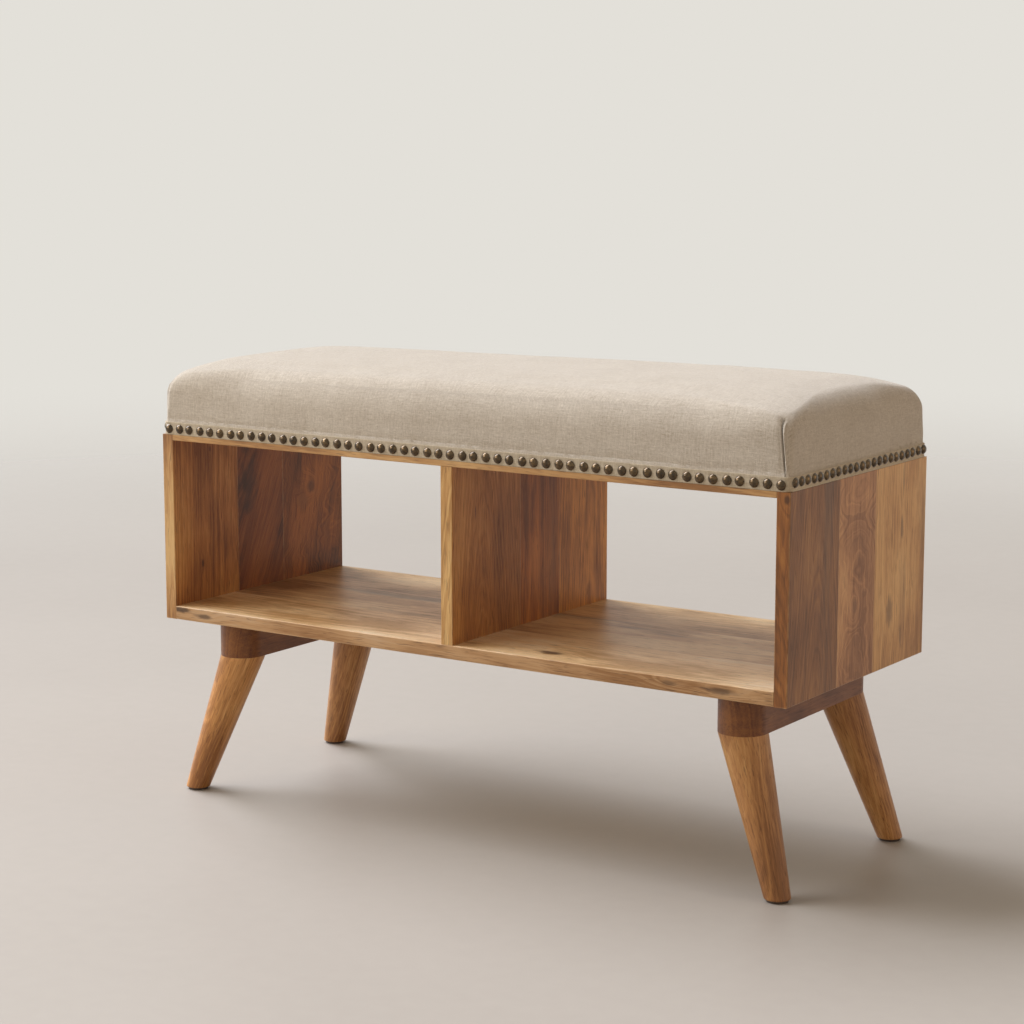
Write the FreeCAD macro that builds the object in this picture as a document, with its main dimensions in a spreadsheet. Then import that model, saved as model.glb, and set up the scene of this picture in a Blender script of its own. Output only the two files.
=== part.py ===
import FreeCAD, Part

import math
import os
import re

import Sketcher
from FreeCAD import Placement, Rotation, Vector

# Entryway bench: an open two-bay carcass of edge-glued solid wood staves, on two
# front-to-back leg frames, with an upholstered seat pinned on by a taped row of nails.
# Millimetres. Origin: middle of the footprint on the floor. +X right, +Y back, +Z up.

doc = FreeCAD.newDocument("entryway_bench")

# ---------------------------------------------------------------- driving dimensions

DIMENSIONS = {
    # carcass
    "carcass_width": 900,
    "carcass_depth": 350,
    "carcass_base": 230,
    "carcass_top": 489,
    "board": 17,
    "seat_board": 27,
    "eased_edge": 1.2,
    "divider_centre": -6,
    # joints between the glued staves, measured from the middle of the depth
    "left_front_joint": -49,
    "left_rear_joint": 45,
    "right_front_joint": -55,
    "right_rear_joint": 38,
    "shelf_front_joint": -58,
    "shelf_rear_joint": 60,
    "divider_front_joint": -29,
    "divider_rear_joint": 60,
    # dowels
    "dowel_radius": 4,
    "dowel_length": 30,
    "dowel_in_side": 12,
    "dowel_in_shelf": 10,
    # leg frames
    "rail_centre": 367,
    "rail_height": 47.5,
    "rail_half_width": 29,
    "rail_half_length": 150,
    "leg_foot_radius": 15.5,
    "foot_centre_x": 427.4,
    "foot_centre_y": 145.7,
    "leg_dowel_radius": 5,
    "leg_dowel_length": 40,
    "leg_dowel_offset": 13,
    "glide_radius": 12.5,
    "glide_height": 3,
    "glide_nail_radius": 1.2,
    "glide_nail_length": 16,
    "glide_nail_head": 3,
    "glide_nail_head_gap": 0.2,
    "glide_nail_head_height": 0.8,
    "glide_recess": 1.5,
    # bolts that hold each leg frame to the carcass
    "bolt_spread": 80,
    "bolt_radius": 3,
    "bolt_length": 40,
    "bolt_clearance": 0.3,
    "bolt_head_radius": 5,
    "bolt_head_height": 6,
    "bolt_socket_radius": 2.9,
    "bolt_socket_depth": 3,
    "counterbore_radius": 7,
    "counterbore_depth": 18,
    "washer_radius": 6.2,
    "washer_height": 1.6,
    "insert_radius": 4.8,
    "insert_length": 13,
    # upholstery
    "rebate_depth": 2.6,
    "rebate_height": 19.7,
    "rebate_corner": 7,
    "layer_gap": 0.1,
    "cover_thickness": 1.2,
    "tape_thickness": 1.2,
    "tape_height": 16.4,
    "wadding_thickness": 5,
    "cushion_top": 572,
    "cushion_edge": 24,
    # upholstery nails
    "front_nails": 53,
    "side_nails": 23,
    "front_nail_reach": 438.4,
    "side_nail_reach": 164,
    "front_nail_height": 476.8,
    "side_nail_height": 478.8,
    "nail_head_radius": 5.8,
    "nail_head_height": 3.2,
    "nail_rim_height": 0.3,
    "nail_shank_radius": 0.8,
    "nail_length": 14,
    "nail_point_length": 2,
    "nail_stray": 0.35,
}

sheet = doc.addObject("Spreadsheet::Sheet", "Sizes")
for row, (alias, value) in enumerate(DIMENSIONS.items(), start=1):
    sheet.set(f"A{row}", alias)
    sheet.set(f"B{row}", str(value))
    sheet.setAlias(f"B{row}", alias)
doc.recompute()

SMALL = 1e-4

# how far a cutting block stands out past what it cuts
MARGIN = 10

# a point on a nail head's dome, as fractions of the head's radius and height
DOME_SHOULDER = (0.72, 0.68)


def size(alias):
    """A driving dimension as a plain number."""
    return float(sheet.get(alias))


def bound(formula):
    """A formula in dimension names, written for the expression engine."""
    return re.sub(r"[a-z][a-z_]+", r"Sizes.\g<0>", str(formula))


def bind(item, **formulas):
    """Bind properties such as Length, or a placement with x, y and z."""
    for name, formula in formulas.items():
        target = f".Placement.Base.{name}" if name in "xyz" else name
        item.setExpression(target, bound(formula))
    return item


def finished(item, label):
    """Give a sub-part the label that names its file, and keep it for export."""
    item.Label = label
    sub_parts.append(item)
    return item


sub_parts = []

# ------------------------------------------------------------------- small builders


def box(name, x, y, z, length, width, height):
    item = doc.addObject("Part::Box", name)
    return bind(item, x=x, y=y, z=z, Length=length, Width=width, Height=height)


def cylinder(name, x, y, z, radius, length, axis="z"):
    """A cylinder that starts at x, y, z and runs along one axis."""
    item = doc.addObject("Part::Cylinder", name)
    if axis == "x":
        item.Placement = Placement(Vector(), Rotation(Vector(0, 1, 0), 90))
    return bind(item, x=x, y=y, z=z, Radius=radius, Height=length)


def compound(name, items):
    item = doc.addObject("Part::Compound", name)
    item.Links = items
    return item


def cut(name, base, tool):
    item = doc.addObject("Part::Cut", name)
    item.Base = base
    item.Tool = tool
    return item


def cut_all(name, base, tools):
    for index, tool in enumerate(tools):
        base = cut(f"{name}_cut_{index}", base, tool)
    return base


def rounded(name, base, radius, wanted):
    """Fillet the edges of base that are wanted, if it has any."""
    doc.recompute()
    chosen = []
    for number, edge in enumerate(base.Shape.Edges, start=1):
        middle = edge.valueAt((edge.FirstParameter + edge.LastParameter) / 2)
        if wanted(middle, edge):
            chosen.append((number, radius, radius))
    if not chosen:
        return base
    item = doc.addObject("Part::Fillet", name)
    item.Base = base
    item.Edges = chosen
    return item


def sketch_on_xy(body, name, height):
    """An empty sketch that lies parallel to the body's own XY plane."""
    plane = [f for f in body.Origin.OriginFeatures if f.Role == "XY_Plane"][0]
    sketch = body.newObject("Sketcher::SketchObject", name)
    sketch.AttachmentSupport = [(plane, "")]
    sketch.MapMode = "FlatFace"
    sketch.setExpression("AttachmentOffset.Base.z", bound(height))
    return sketch


def sketch_rectangle(sketch, half_x, half_y):
    """A centred rectangle with both half sizes bound."""
    corners = [Vector(-10, -10, 0), Vector(10, -10, 0), Vector(10, 10, 0), Vector(-10, 10, 0)]
    for index in range(4):
        sketch.addGeometry(Part.LineSegment(corners[index], corners[(index + 1) % 4]))
    for index in range(4):
        sketch.addConstraint(Sketcher.Constraint("Coincident", index, 2, (index + 1) % 4, 1))
    for index, kind in enumerate(("Horizontal", "Vertical", "Horizontal", "Vertical")):
        sketch.addConstraint(Sketcher.Constraint(kind, index))
    right = sketch.addConstraint(Sketcher.Constraint("DistanceX", -1, 1, 1, 1, 10))
    top = sketch.addConstraint(Sketcher.Constraint("DistanceY", -1, 1, 1, 2, 10))
    sketch.addConstraint(Sketcher.Constraint("Symmetric", 0, 1, 1, 2, -1, 1))
    sketch.setExpression(f"Constraints[{right}]", bound(half_x))
    sketch.setExpression(f"Constraints[{top}]", bound(half_y))


def sketch_circle(sketch, x, y, radius):
    """A circle with its place and radius bound."""
    circle = sketch.addGeometry(Part.Circle(Vector(5, 5, 0), Vector(0, 0, 1), 2))
    signed = ((x, "DistanceX"), (y, "DistanceY"))
    for formula, kind in signed:
        place = sketch.addConstraint(Sketcher.Constraint(kind, -1, 1, circle, 3, 5))
        sketch.setExpression(f"Constraints[{place}]", bound(formula))
    wide = sketch.addConstraint(Sketcher.Constraint("Radius", circle, 2))
    sketch.setExpression(f"Constraints[{wide}]", bound(radius))


def padded(body, name, sketch, length):
    pad = body.newObject("PartDesign::Pad", name)
    pad.Profile = sketch
    pad.setExpression("Length", bound(length))
    return pad


def along_z(edge):
    """Whether a straight edge stands upright."""
    start, end = edge.Vertexes[0].Point, edge.Vertexes[-1].Point
    return abs(start.x - end.x) < SMALL and abs(start.y - end.y) < SMALL


def soft_block(name, half_x, half_y, low, high, corner, top_edge):
    """A body with rounded upright corners and a rounded upper edge."""
    body = doc.addObject("PartDesign::Body", name)
    sketch = sketch_on_xy(body, f"{name}_outline", low)
    sketch_rectangle(sketch, half_x, half_y)
    pad = padded(body, f"{name}_extrusion", sketch, f"{high} - ({low})")
    doc.recompute()
    upright = [f"Edge{n}" for n, edge in enumerate(pad.Shape.Edges, 1) if along_z(edge)]
    corners = body.newObject("PartDesign::Fillet", f"{name}_corners")
    corners.Base = (pad, upright)
    corners.setExpression("Radius", bound(corner))
    doc.recompute()
    if top_edge is None:
        return body
    ceiling = corners.Shape.BoundBox.ZMax
    rim = []
    for number, edge in enumerate(corners.Shape.Edges, 1):
        if edge.BoundBox.ZMin > ceiling - SMALL:
            rim.append(f"Edge{number}")
    shoulder = body.newObject("PartDesign::Fillet", f"{name}_shoulder")
    shoulder.Base = (corners, rim)
    shoulder.setExpression("Radius", bound(top_edge))
    doc.recompute()
    return body


# --------------------------------------------------------------- upholstery nails


def stray(index, phase):
    """The small wander of a nail that is driven by hand."""
    return size("nail_stray") * math.sin(2.4 * index + phase)


def nail_row(count, reach, height, phase):
    """Places along one side, as distance from its middle and height."""
    pitch = 2 * reach / (count - 1)
    places = []
    for index in range(count):
        inner = 0 < index < count - 1
        along = -reach + pitch * index + (2 * stray(index, phase) if inner else 0)
        places.append((along, height + stray(3 * index, phase)))
    return places


def nail_frames(side):
    """Placements that turn a nail modelled along +Z onto one side's tape."""
    outward = {"front": -90, "right": 0, "back": 90, "left": 180}[side]
    turn = Rotation(Vector(0, 0, 1), outward).multiply(Rotation(Vector(0, 1, 0), 90))
    if side in ("front", "back"):
        row = nail_row(int(size("front_nails")), size("front_nail_reach"),
                       size("front_nail_height"), 0.0)
        face = size("carcass_depth") / 2
    else:
        row = nail_row(int(size("side_nails")), size("side_nail_reach"),
                       size("side_nail_height"), 1.0)
        face = size("carcass_width") / 2
    normal = turn.multVec(Vector(0, 0, 1))
    sideways = Vector(0, 0, 1).cross(normal)
    frames = []
    for along, height in row:
        place = normal * face + sideways * along + Vector(0, 0, height)
        frames.append(Placement(place, turn))
    return frames


def nail_shape():
    """A domed upholstery nail, its head resting on the XY plane, its shank below."""
    head, rise = size("nail_head_radius"), size("nail_head_height")
    shank, length = size("nail_shank_radius"), size("nail_length")
    rim, point = size("nail_rim_height"), size("nail_point_length")
    side = Vector(head * DOME_SHOULDER[0], 0, rise * DOME_SHOULDER[1])
    dome = Part.Arc(Vector(0, 0, rise), side, Vector(head, 0, rim)).toShape()
    points = [Vector(head, 0, rim), Vector(head, 0, 0), Vector(shank, 0, 0),
              Vector(shank, 0, point - length), Vector(0, 0, -length),
              Vector(0, 0, rise)]
    outline = Part.Wire([dome] + Part.makePolygon(points).Edges)
    return Part.Face(outline).revolve(Vector(0, 0, 0), Vector(0, 0, 1), 360)


def placed_copies(name, shape, frames):
    """Copies of one shape as a group of separate solids."""
    item = doc.addObject("Part::Feature", name)
    copies = []
    for frame in frames:
        copy = shape.copy()
        copy.Placement = frame
        copies.append(copy)
    item.Shape = Part.makeCompound(copies)
    return item


def nail_holes(side):
    """The shank holes of one row, as deep as the shanks."""
    length = size("nail_length")
    shank = Part.makeCylinder(size("nail_shank_radius"), length + 1, Vector(0, 0, -length))
    return placed_copies(f"{side}_nail_holes", shank, nail_frames(side))


SIDES = ("front", "back", "left", "right")
holes_of = {side: nail_holes(side) for side in SIDES}

# ------------------------------------------------------------------------- carcass

HALF_WIDTH = "carcass_width / 2"
HALF_DEPTH = "carcass_depth / 2"
INNER_X = "(carcass_width / 2 - board)"
SHELF_TOP = "(carcass_base + board)"
SEAT_UNDERSIDE = "(carcass_top - seat_board)"
REBATE_FOOT = "(carcass_top - rebate_height)"
STAVE_NAMES = ("front", "middle", "rear")

# the rebate round the top, which lets the cover and its tape lie flush with the wood
rebate_core = soft_block("rebate_core", f"{HALF_WIDTH} - rebate_depth",
                         f"{HALF_DEPTH} - rebate_depth", REBATE_FOOT, f"carcass_top + {MARGIN}",
                         "rebate_corner", None)
rebate_block = box("rebate_block", f"-({HALF_WIDTH}) - {MARGIN}", f"-({HALF_DEPTH}) - {MARGIN}",
                   REBATE_FOOT, f"carcass_width + {2 * MARGIN}", f"carcass_depth + {2 * MARGIN}",
                   f"rebate_height + {MARGIN}")
rebate = cut("rebate", rebate_block, rebate_core)

# dowel places clear of every joint between staves and midway between the side nails
DOWEL_PLACES = (-156.5, -96.9, -7.5, 22.4, 82, 156.5)


def side_dowels(side, sign):
    """Dowels from one side panel into the ends of the shelf and the seat board."""
    pieces = []
    levels = ("carcass_base + board / 2", "carcass_top - seat_board / 2")
    start = f"{INNER_X} - (dowel_length - dowel_in_side)"
    if sign < 0:
        start = f"-({INNER_X} + dowel_in_side)"
    for level in levels:
        for place in DOWEL_PLACES:
            name = f"{side}_dowel_{len(pieces)}"
            pieces.append(cylinder(name, start, place, level, "dowel_radius", "dowel_length", "x"))
    return finished(compound(f"dowels_{side}", pieces), f"side_dowels_{side}")


def divider_dowels():
    """Upright dowels from the divider into the shelf and the seat board."""
    pieces = []
    levels = (f"{SHELF_TOP} - dowel_in_shelf",
              f"{SEAT_UNDERSIDE} + dowel_in_shelf - dowel_length")
    for level in levels:
        for place in DOWEL_PLACES:
            name = f"divider_dowel_{len(pieces)}"
            pieces.append(cylinder(name, "divider_centre", place, level, "dowel_radius",
                                   "dowel_length"))
    return finished(compound("dowels_divider", pieces), "divider_dowels")


dowels = {
    "left": side_dowels("left", -1),
    "right": side_dowels("right", 1),
    "divider": divider_dowels(),
}


def staves(panel, joints, x, z, length, height, arrises, tools):
    """Three glued staves of one panel, from front to back."""
    bounds = [f"-({HALF_DEPTH})", joints[0], joints[1], HALF_DEPTH]
    for name, low, high in zip(STAVE_NAMES, bounds, bounds[1:]):
        blank = box(f"{panel}_{name}_blank", x, low, z, length, f"({high}) - ({low})", height)
        eased = rounded(f"{panel}_{name}_eased", blank, size("eased_edge"), arrises)
        chosen = [tool for place, tool in tools if place in (name, "all")]
        finished(cut_all(f"{panel}_{name}", eased, chosen), f"{panel}_{name}_stave")


half_width, half_depth = size("carcass_width") / 2, size("carcass_depth") / 2
carcass_base, carcass_top = size("carcass_base"), size("carcass_top")


def on_front_or_back(middle):
    return abs(abs(middle.y) - half_depth) < SMALL


def side_arris(middle, edge):
    """The upright front and back arrises and the outer bottom arris of a side panel."""
    outer = abs(abs(middle.x) - half_width) < SMALL
    upright = along_z(edge) and on_front_or_back(middle)
    bottom = abs(middle.z - carcass_base) < SMALL and outer
    return upright or bottom


def level_arris(middle, edge):
    """The long front and back arrises of a level board, apart from the seat board's top."""
    return on_front_or_back(middle) and not along_z(edge) and is_long(edge) and \
        abs(middle.z - carcass_top) > SMALL


def divider_arris(middle, edge):
    return on_front_or_back(middle) and along_z(edge)


def is_long(edge):
    return edge.Length > size("carcass_width") / 2


# bolts, threaded inserts and dowels of the two leg frames share their places
BOLT_ROW = ("-bolt_spread", "0", "bolt_spread")
RAIL_FOOT = "(carcass_base - rail_height)"
HEAD_SEAT = f"({RAIL_FOOT} + counterbore_depth)"


def per_bolt(name, radius, low, length):
    """One cylinder at each bolt of both leg frames."""
    pieces = []
    for x in ("-rail_centre", "rail_centre"):
        for y in BOLT_ROW:
            pieces.append(cylinder(f"{name}_{len(pieces)}", x, y, low, radius, length))
    return pieces


insert_blanks = per_bolt("insert_blank", "insert_radius", "carcass_base", "insert_length")
insert_pockets = compound("insert_pockets", insert_blanks)

SIDE_HEIGHT = "carcass_top - carcass_base"
END_HOLES = [("front", holes_of["front"]), ("rear", holes_of["back"])]
staves("left_side", ("left_front_joint", "left_rear_joint"), f"-({HALF_WIDTH})", "carcass_base",
       "board", SIDE_HEIGHT, side_arris,
       [("all", rebate), ("all", dowels["left"]), ("all", holes_of["left"])] + END_HOLES)
staves("right_side", ("right_front_joint", "right_rear_joint"), INNER_X, "carcass_base",
       "board", SIDE_HEIGHT, side_arris,
       [("all", rebate), ("all", dowels["right"]), ("all", holes_of["right"])] + END_HOLES)
staves("shelf", ("shelf_front_joint", "shelf_rear_joint"), f"-{INNER_X}", "carcass_base",
       "carcass_width - 2 * board", "board", level_arris,
       [("all", dowels["left"]), ("all", dowels["right"]), ("all", dowels["divider"]),
        ("all", insert_pockets)])
staves("seat_board", ("shelf_front_joint", "shelf_rear_joint"), f"-{INNER_X}", SEAT_UNDERSIDE,
       "carcass_width - 2 * board", "seat_board", level_arris,
       [("all", dowels["left"]), ("all", dowels["right"]), ("all", dowels["divider"]),
        ("front", rebate), ("rear", rebate)] + END_HOLES)
staves("divider", ("divider_front_joint", "divider_rear_joint"), "divider_centre - board / 2",
       SHELF_TOP, "board", f"{SEAT_UNDERSIDE} - {SHELF_TOP}", divider_arris,
       [("all", dowels["divider"])])

# --------------------------------------------------------------------- leg frames

CORNERS = (("front_left", -1, -1), ("front_right", 1, -1), ("rear_left", -1, 1),
           ("rear_right", 1, 1))
LEG_TOP_Y = "(rail_half_length - rail_half_width)"


def rail_blank(side, sign):
    """A front-to-back rail whose ends are half round in plan."""
    body = doc.addObject("PartDesign::Body", f"{side}_rail_body")
    sketch = sketch_on_xy(body, f"{side}_rail_outline", RAIL_FOOT)
    front = Part.ArcOfCircle(Part.Circle(Vector(0, -9, 0), Vector(0, 0, 1), 4), math.pi, 2 * math.pi)
    back = Part.ArcOfCircle(Part.Circle(Vector(0, 9, 0), Vector(0, 0, 1), 4), 0, math.pi)
    sketch.addGeometry(front)
    sketch.addGeometry(Part.LineSegment(Vector(4, -9, 0), Vector(4, 9, 0)))
    sketch.addGeometry(back)
    sketch.addGeometry(Part.LineSegment(Vector(-4, 9, 0), Vector(-4, -9, 0)))
    for first, first_end, second, second_end in ((0, 2, 1, 1), (1, 2, 2, 1), (2, 2, 3, 1), (3, 2, 0, 1)):
        sketch.addConstraint(Sketcher.Constraint("Tangent", first, first_end, second, second_end))
    sketch.addConstraint(Sketcher.Constraint("Vertical", 1))
    sketch.addConstraint(Sketcher.Constraint("Vertical", 0, 3, 2, 3))
    radius = sketch.addConstraint(Sketcher.Constraint("Radius", 0, 4))
    reach = sketch.addConstraint(Sketcher.Constraint("DistanceY", -1, 1, 2, 3, 9))
    fore = sketch.addConstraint(Sketcher.Constraint("DistanceY", 0, 3, -1, 1, 9))
    across = sketch.addConstraint(Sketcher.Constraint("DistanceX", -1, 1, 2, 3, 1))
    sketch.setExpression(f"Constraints[{radius}]", bound("rail_half_width"))
    sketch.setExpression(f"Constraints[{reach}]", bound(LEG_TOP_Y))
    sketch.setExpression(f"Constraints[{fore}]", bound(LEG_TOP_Y))
    sketch.setExpression(f"Constraints[{across}]", bound(f"{sign} * rail_centre"))
    padded(body, f"{side}_rail_pad", sketch, "rail_height")
    return body


def leg_dowels(side, sign):
    """Two upright dowels in the joint between the rail and each of its legs."""
    pieces = []
    low = f"{RAIL_FOOT} - leg_dowel_length / 2"
    for end in (-1, 1):
        for offset in (-1, 1):
            y = f"{end} * {LEG_TOP_Y} + {offset} * leg_dowel_offset"
            pieces.append(cylinder(f"{side}_leg_dowel_{len(pieces)}", f"{sign} * rail_centre", y,
                                   low, "leg_dowel_radius", "leg_dowel_length"))
    return finished(compound(f"{side}_leg_dowel_group", pieces), f"leg_dowels_{side}")


leg_dowels_of = {-1: leg_dowels("left", -1), 1: leg_dowels("right", 1)}

bolt_holes = compound("bolt_holes", per_bolt("bolt_hole", "bolt_radius + bolt_clearance",
                                             RAIL_FOOT, "rail_height"))
counterbores = compound("counterbores", per_bolt("counterbore", "counterbore_radius",
                                                 RAIL_FOOT, "counterbore_depth"))
for rail_side, rail_sign in (("left", -1), ("right", 1)):
    tools = [bolt_holes, counterbores, leg_dowels_of[rail_sign]]
    rail = cut_all(f"{rail_side}_rail", rail_blank(rail_side, rail_sign), tools)
    finished(rail, f"{rail_side}_leg_rail")


def leg_blank(corner, x_sign, y_sign):
    """A round leg that tapers and splays from the rail's end down to its foot."""
    body = doc.addObject("PartDesign::Body", f"leg_{corner}_body")
    top = sketch_on_xy(body, f"leg_{corner}_top", RAIL_FOOT)
    sketch_circle(top, f"{x_sign} * rail_centre", f"{y_sign} * {LEG_TOP_Y}", "rail_half_width")
    foot = sketch_on_xy(body, f"leg_{corner}_foot", "glide_height")
    sketch_circle(foot, f"{x_sign} * foot_centre_x", f"{y_sign} * foot_centre_y",
                  "leg_foot_radius")
    doc.recompute()
    loft = body.newObject("PartDesign::AdditiveLoft", f"leg_{corner}_taper")
    loft.Profile = top
    loft.Sections = [foot]
    loft.Ruled = True
    doc.recompute()
    floor_level = loft.Shape.BoundBox.ZMin
    rim = []
    for number, edge in enumerate(loft.Shape.Edges, 1):
        if edge.BoundBox.ZMax < floor_level + SMALL:
            rim.append(f"Edge{number}")
    soft_foot = body.newObject("PartDesign::Fillet", f"leg_{corner}_soft_foot")
    soft_foot.Base = (loft, rim)
    soft_foot.setExpression("Radius", bound("eased_edge"))
    return body


def foot_glide(corner, x_sign, y_sign):
    """A round plastic glide and the nail that fixes it under the foot."""
    x, y = f"{x_sign} * foot_centre_x", f"{y_sign} * foot_centre_y"
    disc = cylinder(f"glide_{corner}_disc", x, y, 0, "glide_radius", "glide_height")
    recess = cylinder(f"glide_{corner}_recess", x, y, 0, "glide_nail_head", "glide_recess")
    hole = cylinder(f"glide_{corner}_hole", x, y, 0, "glide_nail_radius", "glide_height")
    finished(cut_all(f"glide_{corner}", disc, [recess, hole]), f"foot_glide_{corner}")
    head = cylinder(f"glide_nail_{corner}_head", x, y, "glide_recess - glide_nail_head_height",
                    "glide_nail_head - glide_nail_head_gap", "glide_nail_head_height")
    shank = cylinder(f"glide_nail_{corner}_shank", x, y, "glide_recess", "glide_nail_radius",
                     "glide_nail_length")
    nail = doc.addObject("Part::Fuse", f"glide_nail_{corner}")
    nail.Base = head
    nail.Tool = shank
    return nail


glide_nails = {}
for corner, x_sign, y_sign in CORNERS:
    glide_nails[corner] = foot_glide(corner, x_sign, y_sign)
    tools = [leg_dowels_of[x_sign], glide_nails[corner]]
    leg = cut_all(f"leg_{corner}", leg_blank(corner, x_sign, y_sign), tools)
    finished(leg, f"leg_{corner}")
finished(compound("glide_nail_group", list(glide_nails.values())), "glide_nails")

# ---------------------------------------------------------------- frame fasteners


def rail_bolts():
    """Socket-head bolts, their heads up in the rails' counterbores."""
    seat = f"{HEAD_SEAT} - washer_height"
    shanks = per_bolt("bolt_shank", "bolt_radius", seat, "bolt_length")
    heads = per_bolt("bolt_head", "bolt_head_radius", f"{seat} - bolt_head_height",
                     "bolt_head_height")
    bolts = []
    for index, (shank, head) in enumerate(zip(shanks, heads)):
        socket = doc.addObject("Part::Prism", f"bolt_socket_{index}")
        socket.Polygon = 6
        x = "rail_centre" if index >= len(BOLT_ROW) else "-rail_centre"
        bind(socket, x=x, y=BOLT_ROW[index % len(BOLT_ROW)], z=f"{seat} - bolt_head_height",
             Circumradius="bolt_socket_radius", Height="bolt_socket_depth")
        joined = doc.addObject("Part::Fuse", f"bolt_blank_{index}")
        joined.Base = shank
        joined.Tool = head
        bolts.append(cut(f"bolt_{index}", joined, socket))
    return finished(compound("bolt_group", bolts), "rail_bolts")


def ring_group(name, label, outer, inner, low, height):
    """Rings round the six bolts, such as washers or threaded inserts."""
    outsides = per_bolt(f"{name}_outside", outer, low, height)
    insides = per_bolt(f"{name}_inside", inner, low, height)
    rings = [cut(f"{name}_{n}", *pair) for n, pair in enumerate(zip(outsides, insides))]
    return finished(compound(f"{name}_group", rings), label)


rail_bolts()
ring_group("washer", "rail_washers", "washer_radius", "bolt_radius + bolt_clearance",
           f"{HEAD_SEAT} - washer_height", "washer_height")
ring_group("insert", "threaded_inserts", "insert_radius", "bolt_radius", "carcass_base",
           "insert_length")

# --------------------------------------------------------------------- upholstery

SEAT_TOP = "(carcass_top + layer_gap)"


def layer(name, inset, low, top, top_edge):
    """A soft block whose sides stand inset from the carcass, corners concentric."""
    corner = f"rebate_corner + rebate_depth - ({inset})"
    return soft_block(name, f"{HALF_WIDTH} - ({inset})", f"{HALF_DEPTH} - ({inset})", low, top,
                      corner, top_edge)


COVER_OUT = "(tape_thickness + layer_gap)"
COVER_IN = f"({COVER_OUT} + cover_thickness)"
WADDING_OUT = f"({COVER_IN} + layer_gap)"
WADDING_IN = f"({WADDING_OUT} + wadding_thickness)"
FOAM_OUT = f"({WADDING_IN} + layer_gap)"
COVER_HEM = f"({REBATE_FOOT} + layer_gap)"


def shell(label, outer_inset, inner_inset, outer_low, inner_low, outer_top, inner_top):
    """One soft layer: an outer block less the space inside it, open below."""
    outer = layer(f"{label}_outside", outer_inset, outer_low, outer_top,
                  f"cushion_edge - {outer_inset}")
    inner = layer(f"{label}_inside", inner_inset, inner_low, inner_top,
                  f"cushion_edge - {inner_inset}")
    return cut(label, outer, inner)


COVER_TOP = "cushion_top"
COVER_CEILING = f"({COVER_TOP} - cover_thickness)"
WADDING_TOP = f"({COVER_CEILING} - layer_gap)"
WADDING_CEILING = f"({WADDING_TOP} - wadding_thickness)"
FOAM_TOP = f"({WADDING_CEILING} - layer_gap)"

all_nail_holes = [holes_of[side] for side in SIDES]
cover = shell("cover_blank", COVER_OUT, COVER_IN, COVER_HEM, f"{COVER_HEM} - 1", COVER_TOP,
              COVER_CEILING)
finished(cut_all("cover", cover, all_nail_holes), "linen_cover")
finished(shell("wadding", WADDING_OUT, WADDING_IN, SEAT_TOP, f"{SEAT_TOP} - 1", WADDING_TOP,
               WADDING_CEILING), "polyester_wadding")
finished(layer("foam", FOAM_OUT, SEAT_TOP, FOAM_TOP, f"cushion_edge - {FOAM_OUT}"), "foam_pad")

tape_outside = layer("tape_outside", "0", COVER_HEM, f"{COVER_HEM} + tape_height", None)
tape_inside = layer("tape_inside", "tape_thickness", f"{COVER_HEM} - 1",
                    f"{COVER_HEM} + tape_height + 1", None)
tape = cut("tape_blank", tape_outside, tape_inside)
finished(cut_all("tape", tape, all_nail_holes), "nail_tape")

nail = nail_shape()
for side in SIDES:
    finished(placed_copies(f"{side}_nail_row", nail, nail_frames(side)), f"upholstery_nails_{side}")

# ------------------------------------------------------------------ check and write

doc.recompute()
for item in doc.Objects:
    if {"Invalid", "Error"} & set(item.State):
        raise RuntimeError(f"{item.Name} did not recompute: {item.State}")
for item in sub_parts:
    if item.Shape.isNull() or not item.Shape.isValid():
        raise RuntimeError(f"{item.Label} has no valid shape")
    if not item.Shape.Solids:
        raise RuntimeError(f"{item.Label} holds no solid")

os.makedirs("parts", exist_ok=True)
for item in sub_parts:
    item.Shape.exportStep(f"parts/{item.Label}.step")
    shape_box = item.Shape.BoundBox
    print(f"{item.Label}: {len(item.Shape.Solids)} solid(s), {item.Shape.Volume / 1000:.1f} cm3,"
          f" z {shape_box.ZMin:.1f} to {shape_box.ZMax:.1f}")
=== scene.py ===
import math

import bpy
import numpy as np
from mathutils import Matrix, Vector, kdtree, noise


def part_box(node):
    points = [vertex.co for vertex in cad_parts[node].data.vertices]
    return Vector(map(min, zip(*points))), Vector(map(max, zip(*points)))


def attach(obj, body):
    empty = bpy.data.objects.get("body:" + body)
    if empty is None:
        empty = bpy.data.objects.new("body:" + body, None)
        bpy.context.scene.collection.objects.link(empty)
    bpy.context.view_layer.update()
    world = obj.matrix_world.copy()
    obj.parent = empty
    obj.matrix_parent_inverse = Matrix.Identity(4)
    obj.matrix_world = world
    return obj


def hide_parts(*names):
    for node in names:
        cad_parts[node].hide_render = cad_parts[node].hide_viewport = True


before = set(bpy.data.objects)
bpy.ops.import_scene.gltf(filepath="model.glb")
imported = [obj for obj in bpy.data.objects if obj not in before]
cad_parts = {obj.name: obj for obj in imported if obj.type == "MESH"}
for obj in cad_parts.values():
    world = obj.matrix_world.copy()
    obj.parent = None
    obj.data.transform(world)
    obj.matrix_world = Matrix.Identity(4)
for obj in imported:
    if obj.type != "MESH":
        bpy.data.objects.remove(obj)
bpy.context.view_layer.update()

MM = 0.001

# The camera stands in front of the bench, to the right of its middle, and looks down a little.
CAMERA_PLACE = (1.6822, -2.5510, 0.8750)
CAMERA_YAW = 0.591
CAMERA_PITCH = 0.159
CAMERA_LENS = 87.64
SENSOR = 36.0


# ---------------------------------------------------------------- outlines and meshes

CORNER_SIGNS = np.array([(1, -1), (1, 1), (-1, 1), (-1, -1)], float)


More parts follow.
